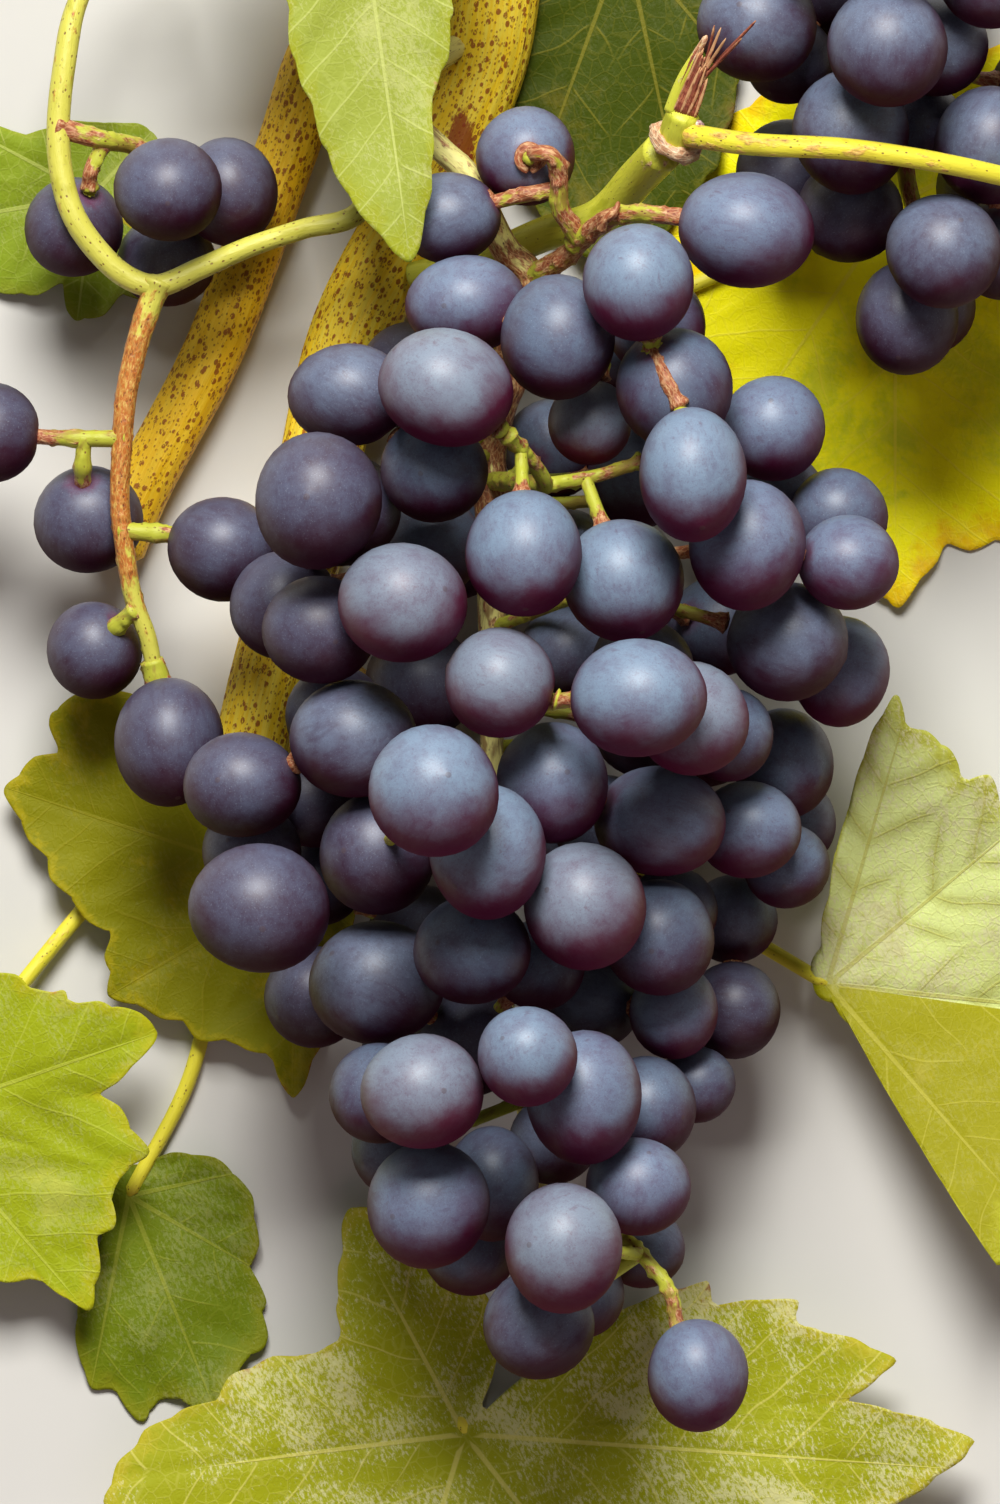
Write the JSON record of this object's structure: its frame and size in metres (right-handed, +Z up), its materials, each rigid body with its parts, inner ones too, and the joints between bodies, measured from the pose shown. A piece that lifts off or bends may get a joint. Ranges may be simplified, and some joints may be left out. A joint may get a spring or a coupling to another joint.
{
  "type": "grapevine branch",
  "caption": "cut branch of a grapevine that lies flat, with bunches of dark blue grapes on a yellow cane, a forked side arm of single grapes, and lobed leaves",
  "frame": {"origin": "on the surface that the branch lies on, under the middle of its box", "axes": "+Y runs to the cut upper end of the cane, +X to the right as the branch is looked down on, +Z up from the surface"},
  "size_m": [0.306, 0.3708, 0.1064],
  "materials": {
    "berries": "dark purple-black skin under a matte slate-blue waxy bloom",
    "leaves": "matte green to yellow leaf with pale veins and toothed edges",
    "canes": "yellow bark with fine dark red-brown dots and patches",
    "stalks": "yellow-green stems with brown specks and reddish warts"
  },
  "bodies": {
    "root": {"cane": "canes", "side_cane": "canes", "peduncle": "stalks", "side_shoot": "stalks", "second_peduncle": "stalks", "wing_arm": "stalks", "wing_fall": "stalks", "top": "berries", "brow": "berries", "left_high": "berries", "left_out": "berries", "left_mid": "berries", "right_high": "berries", "right_out": "berries", "right_edge": "berries", "right_low": "berries", "core_high": "berries", "core_mid": "berries", "right_mid": "berries", "right_deep": "berries", "left_low": "berries", "left_foot": "berries", "front": "berries", "front_low": "berries", "belly": "berries", "belly_right": "berries", "side_low": "berries", "waist": "berries", "tail_left": "berries", "tail_mid": "berries", "tip": "berries", "wing_top": "berries", "second_top": "berries", "second_crown": "berries", "second_outer": "berries", "second_mid": "berries", "second_tip": "berries", "berry_brow": "berries", "berry_shoulder": "berries", "berry_right": "berries", "berry_core": "berries", "berry_front": "berries", "berry_left_foot": "berries", "berry_tail": "berries", "berry_last": "berries", "wing_berry_outer": "berries", "wing_berry_upper": "berries", "wing_berry_lower": "berries", "wing_berry_end": "berries", "wing_berry_inner": "berries", "leaf_front": "leaves", "leaf_dark": "leaves", "leaf_yellow": "leaves", "leaf_folded": "leaves", "leaf_low": "leaves", "leaf_lime": "leaves", "leaf_deep": "leaves", "leaf_olive": "leaves", "leaf_wing": "leaves", "leaf_edge": "leaves"}
  },
  "joints": []
}
